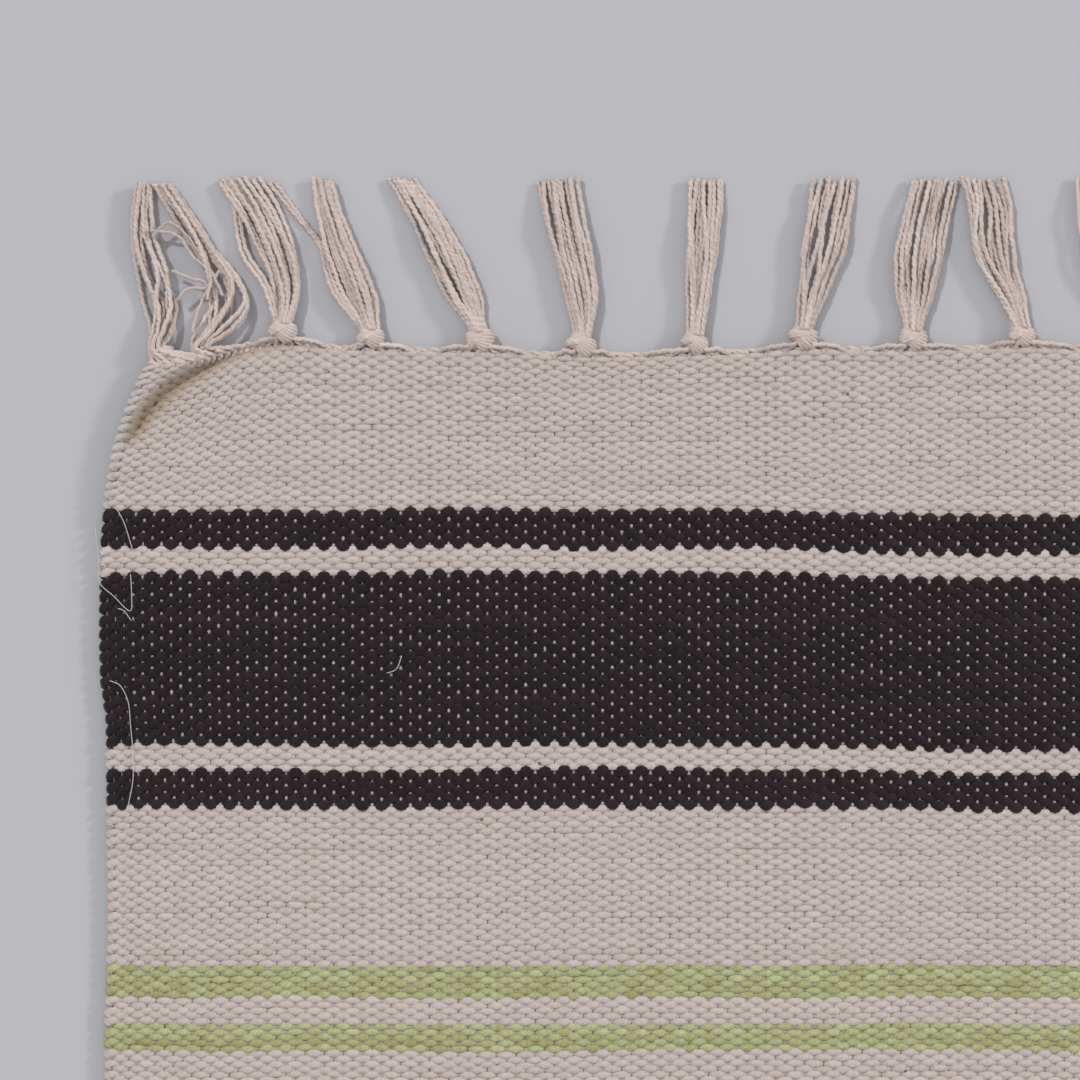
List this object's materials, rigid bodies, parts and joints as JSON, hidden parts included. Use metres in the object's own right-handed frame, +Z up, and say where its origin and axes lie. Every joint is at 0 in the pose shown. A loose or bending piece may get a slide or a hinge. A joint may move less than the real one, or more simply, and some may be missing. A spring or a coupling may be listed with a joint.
{
  "type": "runner rug",
  "caption": "Flat-woven cotton runner rug with cream, charcoal and green weft stripes, selvedges, twined end cords and a knotted tassel fringe at both ends.",
  "frame": {"origin": "on the floor under the middle of the rug, at the bottom centre of its box", "axes": "+X across the width, +Y along the length towards the head end, +Z up from the floor"},
  "size_m": [0.6, 1.7944, 0.006],
  "materials": {
    "cream_weft": "matt cream cotton weft, small lens-shaped floats with soft brown shadow lines",
    "charcoal_weft": "matt charcoal cotton weft, thick floats with cream warp dots between them",
    "green_weft": "matt heathered yellow-green cotton weft",
    "warp_cotton": "matt natural plied cotton warp, knotted and cut as fringe"
  },
  "bodies": {
    "root": {"charcoal_broad_stripe_1": "charcoal_weft", "charcoal_broad_stripe_2": "charcoal_weft", "charcoal_broad_stripe_3": "charcoal_weft", "charcoal_broad_stripe_4": "charcoal_weft", "charcoal_broad_stripe_5": "charcoal_weft", "charcoal_broad_stripe_6": "charcoal_weft", "charcoal_broad_stripe_7": "charcoal_weft", "charcoal_broad_stripe_8": "charcoal_weft", "charcoal_broad_stripe_9": "charcoal_weft", "charcoal_narrow_stripes_1": "charcoal_weft", "charcoal_narrow_stripes_2": "charcoal_weft", "charcoal_narrow_stripes_3": "charcoal_weft", "charcoal_narrow_stripes_4": "charcoal_weft", "charcoal_narrow_stripes_5": "charcoal_weft", "charcoal_narrow_stripes_6": "charcoal_weft", "charcoal_narrow_stripes_7": "charcoal_weft", "charcoal_narrow_stripes_8": "charcoal_weft", "charcoal_narrow_stripes_9": "charcoal_weft", "green_stripe_pair_1": "green_weft", "green_stripe_pair_2": "green_weft", "green_stripe_pair_3": "green_weft", "green_stripe_pair_4": "green_weft", "green_stripe_pair_5": "green_weft", "green_stripe_pair_6": "green_weft", "green_stripe_pair_7": "green_weft", "green_stripe_pair_8": "green_weft", "cream_field_1": "cream_weft", "cream_field_2": "cream_weft", "cream_field_3": "cream_weft", "cream_field_4": "cream_weft", "cream_field_5": "cream_weft", "cream_field_6": "cream_weft", "cream_field_7": "cream_weft", "cream_field_8": "cream_weft", "cream_field_9": "cream_weft", "cream_field_10": "cream_weft", "cream_field_11": "cream_weft", "cream_field_12": "cream_weft", "cream_field_13": "cream_weft", "cream_field_14": "cream_weft", "cream_field_15": "cream_weft", "cream_field_16": "cream_weft", "cream_field_17": "cream_weft", "cream_field_18": "cream_weft", "cream_pin_stripes": "cream_weft", "cream_green_gaps": "cream_weft", "selvedge_left": "cream_weft", "selvedge_right": "cream_weft", "warp_yarns": "warp_cotton", "end_cord_head": "warp_cotton", "end_cord_foot": "warp_cotton", "warp_gathers_head": "warp_cotton", "warp_gathers_foot": "warp_cotton", "fringe_knots_head": "warp_cotton", "fringe_knots_foot": "warp_cotton", "fringe_tassels_head": "warp_cotton", "fringe_tassels_foot": "warp_cotton", "corner_tassels": "warp_cotton"}
  },
  "joints": []
}
